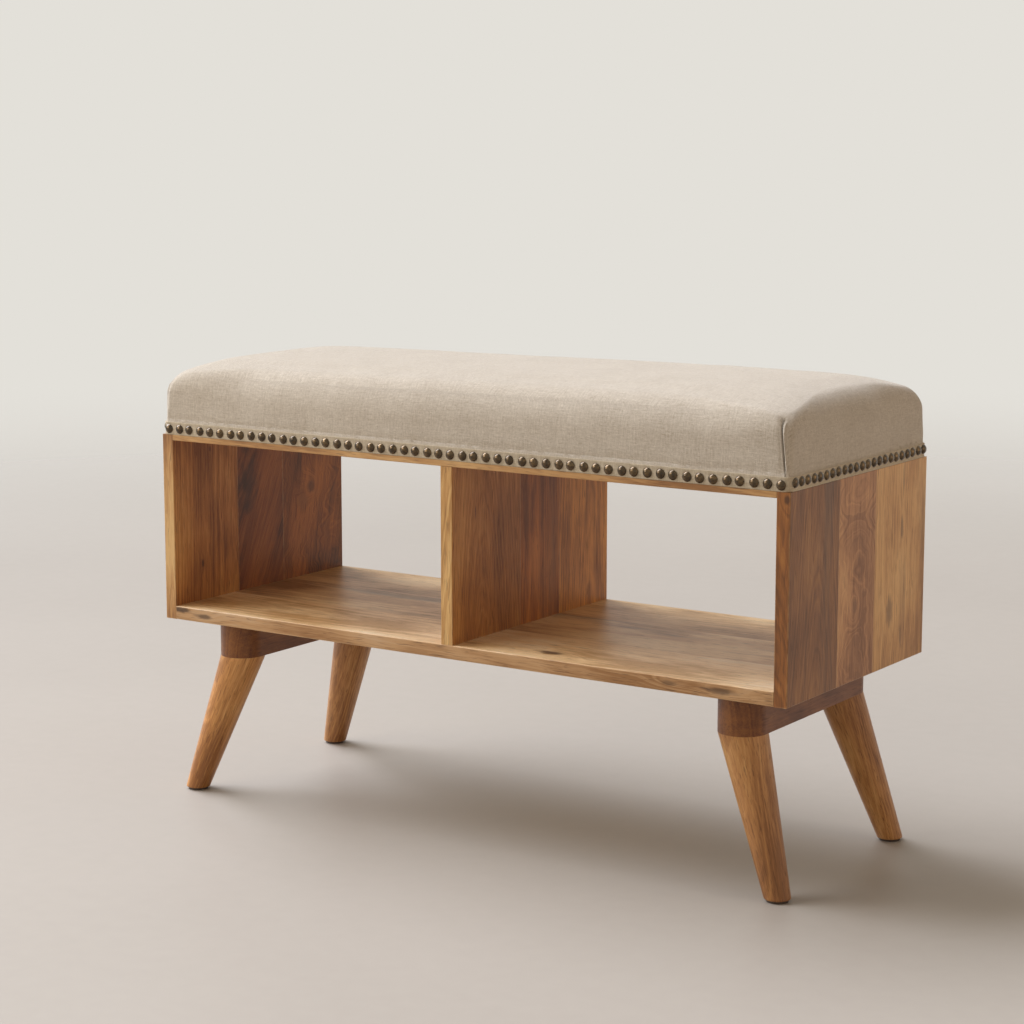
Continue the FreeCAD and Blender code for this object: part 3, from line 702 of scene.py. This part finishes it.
def linen(name, dark, light, pitch, mottle, sheen=0.45):
    """A plain weave of uneven threads. It reads where each point lies on the flat cloth."""
    m = Nodes(name)
    stored = m.node("Attribute", attribute_name="weave").outputs["Vector"]
    flat = m.vector("MULTIPLY", stored, (1, 1, 0))
    fold = m.node("SeparateXYZ", {0: stored}).outputs[2]
    thread = m.scaled(flat, 1 / (pitch * MM))
    parts = m.node("SeparateXYZ", {0: thread}).outputs
    warp, weft = parts[0], parts[1]
    warp_number, weft_number = m.math("FLOOR", warp), m.math("FLOOR", weft)
    crest = m.math("MULTIPLY", m.math("SINE", m.math("MULTIPLY", warp, math.pi)),
                   m.math("SINE", m.math("MULTIPLY", weft, math.pi)))

    def slub(number, run, seed):
        """A thread's own tone, which changes slowly along its run."""
        spread, slow = m.math("MULTIPLY", number, 7.31), m.math("MULTIPLY", run, 0.07)
        spot = m.node("CombineXYZ", {0: spread, 1: slow, 2: seed}).outputs[0]
        return m.noise(spot, detail=1.5)

    warp_tone, weft_tone = slub(warp_number, weft, 1.7), slub(weft_number, warp, 9.2)
    over = m.fit(crest, -0.25, 0.25)
    thread_tone = m.math("ADD", m.math("MULTIPLY", over, warp_tone),
                         m.math("MULTIPLY", m.math("SUBTRACT", 1.0, over), weft_tone))
    long_slubs = m.noise(m.vector("MULTIPLY", flat, (130, 620, 1)), detail=2, roughness=0.55)
    cross_slubs = m.noise(m.vector("MULTIPLY", flat, (620, 130, 1)), detail=2, roughness=0.55)
    speckle = m.noise(flat, scale=420, detail=2, roughness=0.6)
    cloud = m.noise(flat, scale=14, detail=2)
    tone = m.total(0.5, (thread_tone, 0.8), (long_slubs, 0.3 * mottle), (cross_slubs, 0.3 * mottle),
                   (speckle, 0.55 * mottle), (cloud, 0.2 * mottle))
    colour = m.ramp(tone, (0.15, dark), (0.85, light))
    lift = m.math("POWER", m.math("ABSOLUTE", crest), 0.5)
    gap = m.fit(lift, 0.0, 0.55, 0.72, 1.0)
    between = m.node("CombineColor", {0: gap, 1: gap, 2: gap}).outputs[0]
    colour = m.mix(1.0, colour, between, "MULTIPLY")
    # painted shade: the cloth is darkened deep in the corner folds and in the dimples at their tops
    colour = m.mix(m.fit(fold, 0.25, 1.0, 0.0, 0.62), colour, SEAM_SHADE)
    height = m.total(lift, (thread_tone, 0.5), (long_slubs, 0.4), (cross_slubs, 0.4), (speckle, 0.5))
    m.bump(height, 0.35 * MM, 0.7)
    m.set(Base_Color=colour, Roughness=0.85, Specular_IOR_Level=0.4, Sheen_Weight=sheen,
          Sheen_Roughness=0.4)
    return m.material


def antique_brass():
    """Dark bronzed brass, rubbed brighter in places."""
    m = Nodes("antique_brass")
    place = m.node("TexCoord").outputs["Object"]
    patina = m.noise(place, scale=260, detail=3, roughness=0.6)
    each = m.noise(place, scale=45, detail=1)
    tone = m.total(0.5, (patina, 1.3), (each, 0.7))
    colour = m.ramp(tone, (0.2, paint(48, 37, 22)), (0.55, paint(78, 60, 36)), (0.9, paint(112, 88, 54)))
    m.bump(patina, 0.15 * MM, 0.2)
    m.set(Base_Color=colour, Metallic=1.0, Roughness=m.total(0.27, (patina, 0.2)),
          Specular_IOR_Level=0.5, Coat_Weight=0.6, Coat_Roughness=0.12)
    return m.material


def plain_finish(name, dark, light, scale, roughness, metallic=0.0):
    """A moulded or machined surface: slight mottle, fine texture."""
    m = Nodes(name)
    place = m.node("TexCoord").outputs["Object"]
    mottle = m.noise(place, scale=scale, detail=3, roughness=0.6)
    fine = m.noise(place, scale=scale * 12, detail=2)
    tone = m.total(0.5, (mottle, 1.6), (fine, 0.6))
    m.bump(fine, 0.1 * MM, 0.3)
    m.set(Base_Color=m.ramp(tone, (0.2, dark), (0.8, light)), Metallic=metallic,
          Roughness=m.total(roughness, (mottle, 0.2)))
    return m.material


# ---------------------------------------------------------------- each board's own wood

UP, LONGWAYS, DEEP = (0, 0, 1), (1, 0, 0), (0, 1, 0)
GREY_HEART = paint(84, 66, 54)
PURPLE_HEART = paint(66, 42, 36)


def give(node_name, material):
    """Puts a material on a CAD node's object."""
    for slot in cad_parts[node_name].material_slots:
        slot.material = material


def board(node_name, grain, seed, **look):
    """Gives a board a wood of its own, rubbed lighter along its edges, where a highlight is also painted."""
    give(node_name, wood(node_name + "_wood", grain, seed, edges=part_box(node_name), **look))


def dress_sides():
    board("left_side_front_stave", UP, 1, dark=paint(136, 84, 43), mid=paint(183, 123, 65),
          light=paint(214, 159, 93), pith=(-400, -60, 0), taper=0.02, ring_width=3.4,
          front=(0.92, 1.12, 1.5),
          marks=[((-433, -121, 295), (4, 2.2, 7), 0.85, 6), ((-433, -103, 443), (3, 2, 5), 0.6, 3)])
    board("left_side_middle_stave", UP, 2, dark=paint(85, 44, 21), mid=paint(136, 78, 36),
          light=paint(172, 107, 51), lean=(0, 0.42, 0), pith=(-390, 40, 0), taper=0.05,
          rings=0.45, heart=PURPLE_HEART, heart_amount=0.8, heart_level=0.48, heart_run=9, wander=16,
          marks=[((-433, -30, 447), (9, 16, 26), 0.6, 12), ((-433, -34, 392), (8, 7, 22), 0.55, 6)])
    board("left_side_rear_stave", UP, 3, dark=paint(92, 53, 24), mid=paint(147, 88, 39),
          light=paint(181, 114, 52), lean=(0, 0.2, 0), pith=(-380, 110, 0), taper=0.05,
          heart=PURPLE_HEART, heart_amount=0.6, heart_level=0.53, heart_run=7, wander=22, curl=0.7,
          marks=[((-433, 106, 368), (12, 13, 10), 0.5, 34), ((-433, 88, 352), (9, 16, 22), 0.3, 8)])
    board("right_side_front_stave", UP, 4, dark=paint(94, 59, 30), mid=paint(132, 86, 46),
          light=paint(159, 111, 61), pith=(420, -108, 0), taper=0.1, ring_width=2.6,
          front=(1.12, 1.0, 0.75), marks=[((446, -175, 461), (5, 8, 7), 0.8, 4)],
          heart=GREY_HEART, heart_amount=0.6, heart_level=0.5)
    board("right_side_middle_stave", UP, 5, dark=paint(135, 90, 55), mid=paint(176, 125, 81),
          light=paint(204, 155, 104), pith=(410, -8, 0), taper=0.07, curl=0.45, wander=12,
          marks=[((450, -12, 318), (8, 9, 12), 0.3, 20), ((450, -8, 420), (9, 26, 9), 0.0, 16)])
    board("right_side_rear_stave", UP, 6, dark=paint(148, 102, 57), mid=paint(189, 140, 84),
          light=paint(212, 167, 108), pith=(400, 160, 0), taper=0.02, ring_width=2.8,
          heart=paint(112, 72, 42), heart_amount=0.55, heart_level=0.58,
          marks=[((450, 110, 392), (6, 4, 18), 0.6, 6), ((450, 80, 296), (8, 11, 24), 0.5, 8),
                 ((450, 112, 452), (6, 3, 26), 0.35, 3), ((450, 112, 262), (6, 4, 16), 0.35, 4)])


def dress_divider():
    board("divider_front_stave", UP, 7, dark=paint(134, 83, 38), mid=paint(179, 118, 57),
          light=paint(207, 149, 82), pith=(30, -110, 0), taper=0.09, ring_width=3.0,
          front=(1.1, 1.45, 2.1), marks=[((2.5, -126, 402), (3, 1.8, 12), 0.6, 3)])
    board("divider_middle_stave", UP, 8, dark=paint(127, 73, 27), mid=paint(178, 108, 44),
          light=paint(211, 138, 60), pith=(40, 0, 0), taper=0.03, ring_width=3.2,
          heart=paint(84, 54, 38), heart_amount=0.6, heart_level=0.55)
    board("divider_rear_stave", UP, 9, dark=paint(153, 97, 47), mid=paint(209, 143, 70),
          light=paint(243, 180, 94), pith=(-40, 130, 0), taper=0.04, ring_width=3.4)


SHELF_FIGURE = {"streaks": 0.6, "fibres": 0.35, "blotches": 0.7}


def dress_shelf():
    # painted light: the shelf's tones are lighter than the wood, the front stave most, for light in the bays
    # under the seat; its front edge is painted darker again by front
    board("shelf_front_stave", LONGWAYS, 10, dark=paint(192, 149, 97), mid=paint(236, 200, 150),
          light=paint(247, 222, 186), pith=(0, -110, 170), taper=0.03, ring_width=3.0,
          front=(0.57, 0.48, 0.42), heart=paint(150, 120, 94), heart_amount=0.5, heart_level=0.56,
          marks=[((120, -142, 247), (22, 10, 8), 0.85, 14), ((-425, -175, 243), (20, 10, 5), 0.8, 8),
                 ((-388, -175, 238), (18, 10, 4), 0.7, 6), ((300, -175, 240), (14, 10, 4), 0.5, 8),
                 ((366, -175, 239), (26, 10, 5), 0.65, 12)], **SHELF_FIGURE)
    board("shelf_middle_stave", LONGWAYS, 11, dark=paint(160, 118, 74), mid=paint(208, 168, 119),
          light=paint(236, 204, 155), pith=(0, 10, 160), taper=0.02, ring_width=3.4,
          heart=paint(104, 86, 72), heart_amount=0.75, heart_level=0.5, **SHELF_FIGURE)
    board("shelf_rear_stave", LONGWAYS, 12, dark=paint(155, 111, 64), mid=paint(204, 161, 105),
          light=paint(231, 194, 141), pith=(0, 150, 180), taper=0.03, ring_width=3.0,
          heart=paint(100, 80, 64), heart_amount=0.5, heart_level=0.54, **SHELF_FIGURE)


def dress_seat_board():
    for number, part in enumerate(("front", "middle", "rear")):
        board(f"seat_board_{part}_stave", LONGWAYS, 13 + number, pith=(0, -100 + 120 * number, 420),
              dark=paint(146, 102, 59), mid=paint(181, 136, 85), light=paint(204, 164, 111))


LEG_TONES = {"dark": paint(131, 84, 42), "mid": paint(172, 120, 68), "light": paint(196, 148, 91)}
LIGHT_LEG_TONES = {"dark": paint(146, 94, 47), "mid": paint(192, 135, 76), "light": paint(218, 165, 102)}


def dress_legs():
    """Each leg's grain runs along it, from its glide to the middle of its rail's round end."""
    for number, (depth, side) in enumerate((d, s) for d in ("front", "rear") for s in ("left", "right")):
        node_name = f"leg_{depth}_{side}"
        low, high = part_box(node_name)
        glide_low, glide_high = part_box(f"foot_glide_{depth}_{side}")
        foot = (glide_low + glide_high) / 2
        rail_low, rail_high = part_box(f"{side}_leg_rail")
        top_x = (rail_low.x + rail_high.x) / 2
        top_y = math.copysign(rail_high.y - (rail_high.x - rail_low.x) / 2, foot.y)
        rise = high.z - low.z
        lean = ((top_x - foot.x) / rise, (top_y - foot.y) / rise, 0)
        tones = LIGHT_LEG_TONES if (depth, side) == ("front", "left") else LEG_TONES
        give(node_name, wood(node_name + "_wood", UP, 20 + number, lean=lean,
                             pith=(1000 * foot.x + 30, 1000 * foot.y + 60, 0), taper=0.03, ring_width=3.0,
                             heart=paint(120, 84, 56), heart_amount=0.45, heart_run=7, **tones))


def dress_rails():
    for number, side in enumerate(("left", "right")):
        give(f"{side}_leg_rail", wood(f"{side}_rail_wood", DEEP, 30 + number, pith=(0, 0, 150),
                                      dark=paint(82, 42, 15), mid=paint(115, 67, 27),
                                      light=paint(136, 85, 36), ring_width=3.0))


def dress_small_parts():
    """The pegs, the fixings and the feet, and the nails, which do show."""
    peg = wood("dowel_beech", UP, 40, dark=paint(186, 144, 100), mid=paint(210, 172, 128),
               light=paint(226, 192, 150), rings=0.5)
    for node_name in ("side_dowels_left", "side_dowels_right", "divider_dowels", "leg_dowels_left",
                      "leg_dowels_right"):
        give(node_name, peg)
    steel = plain_finish("zinc_steel", paint(150, 150, 148), paint(196, 194, 190), scale=90,
                         roughness=0.34, metallic=1.0)
    for node_name in ("rail_bolts", "rail_washers", "threaded_inserts", "glide_nails"):
        give(node_name, steel)
    plastic = plain_finish("glide_plastic", paint(52, 40, 32), paint(72, 56, 44), scale=160,
                           roughness=0.5)
    for depth in ("front", "rear"):
        for side in ("left", "right"):
            give(f"foot_glide_{depth}_{side}", plastic)
    brass = antique_brass()
    for side in ("front", "back", "left", "right"):
        give(f"upholstery_nails_{side}", brass)


dress_sides()
dress_divider()
dress_shelf()
dress_seat_board()
dress_legs()
dress_rails()
dress_small_parts()

cushion = make_cushion(linen("cushion_linen", paint(163, 148, 129), paint(217, 206, 190), pitch=1.0,
                             mottle=1.0))
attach(cushion, "root")
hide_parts("linen_cover", "foam_pad", "polyester_wadding")

tape = make_tape(linen("tape_weave", paint(164, 146, 120), paint(222, 208, 184), pitch=0.9,
                       mottle=0.6, sheen=0.15))
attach(tape, "root")
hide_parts("nail_tape")


# ---------------------------------------------------------------- floor, light and camera

FLOOR_FADES = (5.2, 1.4)             # metres away where the floor has gone, and where it starts to go


def make_floor():
    """A wide pale floor with a faint satin gloss, that fades into the backdrop further off."""
    radius, steps = 5.5, 96
    points = [(radius * math.cos(2 * math.pi * i / steps), radius * math.sin(2 * math.pi * i / steps), 0.0)
              for i in range(steps)]
    m = Nodes("pale_floor")
    place = m.node("TexCoord").outputs["Object"]
    tone = m.total(0.5, (m.noise(place, scale=1.3, detail=3), 0.8), (m.noise(place, scale=40, detail=2), 0.3))
    m.set(Base_Color=m.ramp(tone, (0.2, paint(159, 151, 142)), (0.8, paint(167, 159, 150))),
          Alpha=m.fit(m.measure("LENGTH", place), *FLOOR_FADES), Roughness=0.5, Specular_IOR_Level=0.3)
    floor = mesh_object("floor", points, [tuple(range(steps))], m.material)


def soft_light(name, place, target, size, power, colour):
    lamp = bpy.data.lights.new(name, "AREA")
    lamp.shape = "RECTANGLE"
    lamp.size, lamp.size_y = size
    lamp.energy = power
    lamp.color = colour
    made = bpy.data.objects.new(name, lamp)
    made.location = place
    made.rotation_euler = (Vector(target) - Vector(place)).to_track_quat("-Z", "Y").to_euler()
    bpy.context.scene.collection.objects.link(made)


def soft_sun(name, towards, power, angle, colour):
    """Wide, even light from far off. towards points from the bench to it."""
    lamp = bpy.data.lights.new(name, "SUN")
    lamp.energy = power
    lamp.angle = math.radians(angle)
    lamp.color = colour
    made = bpy.data.objects.new(name, lamp)
    made.rotation_euler = Vector(towards).to_track_quat("Z", "Y").to_euler()
    bpy.context.scene.collection.objects.link(made)


def make_world(seen, lit, strength):
    """Pale all round: one colour to see and to reflect, and a dimmer one that lights the scene."""
    world = bpy.data.worlds.new("studio")
    bpy.context.scene.world = world
    world.use_nodes = True
    nodes, links = world.node_tree.nodes, world.node_tree.links
    backdrop = nodes["Background"]
    backdrop.inputs[0].default_value = seen
    ambient = nodes.new("ShaderNodeBackground")
    ambient.inputs[0].default_value = lit
    ambient.inputs[1].default_value = strength
    path = nodes.new("ShaderNodeLightPath")
    mixed = nodes.new("ShaderNodeMixShader")
    either = nodes.new("ShaderNodeMath")
    either.operation = "MAXIMUM"
    links.new(path.outputs["Is Camera Ray"], either.inputs[0])
    links.new(path.outputs["Is Glossy Ray"], either.inputs[1])
    links.new(either.outputs[0], mixed.inputs[0])
    links.new(ambient.outputs[0], mixed.inputs[1])
    links.new(backdrop.outputs[0], mixed.inputs[2])
    links.new(mixed.outputs[0], nodes["World Output"].inputs[0])


def make_camera():
    camera = bpy.data.objects.new("camera", bpy.data.cameras.new("camera"))
    camera.location = CAMERA_PLACE
    camera.rotation_euler = (math.pi / 2 - CAMERA_PITCH, 0, CAMERA_YAW)
    camera.data.lens = CAMERA_LENS
    camera.data.sensor_width = SENSOR
    bpy.context.scene.collection.objects.link(camera)
    bpy.context.scene.camera = camera


make_floor()
soft_sun("window", towards=(-0.70, 0.03, 0.70), power=4.9, angle=50, colour=(0.95, 1.005, 1.11))
soft_light("front", place=(-1.8, -1.9, 1.4), target=(0, 0, 0.35), size=(1.8, 1.4), power=29,
           colour=(1.0, 0.94, 0.85))
soft_light("warm", place=(2.6, 0.2, 1.0), target=(0.45, 0, 0.4), size=(1.6, 1.4), power=7.0,
           colour=(1.0, 0.68, 0.42))
make_world(seen=paint(227, 224, 217), lit=(1.0, 0.87, 0.71, 1.0), strength=0.38)
make_camera()
bpy.context.scene.view_settings.view_transform = "Standard"
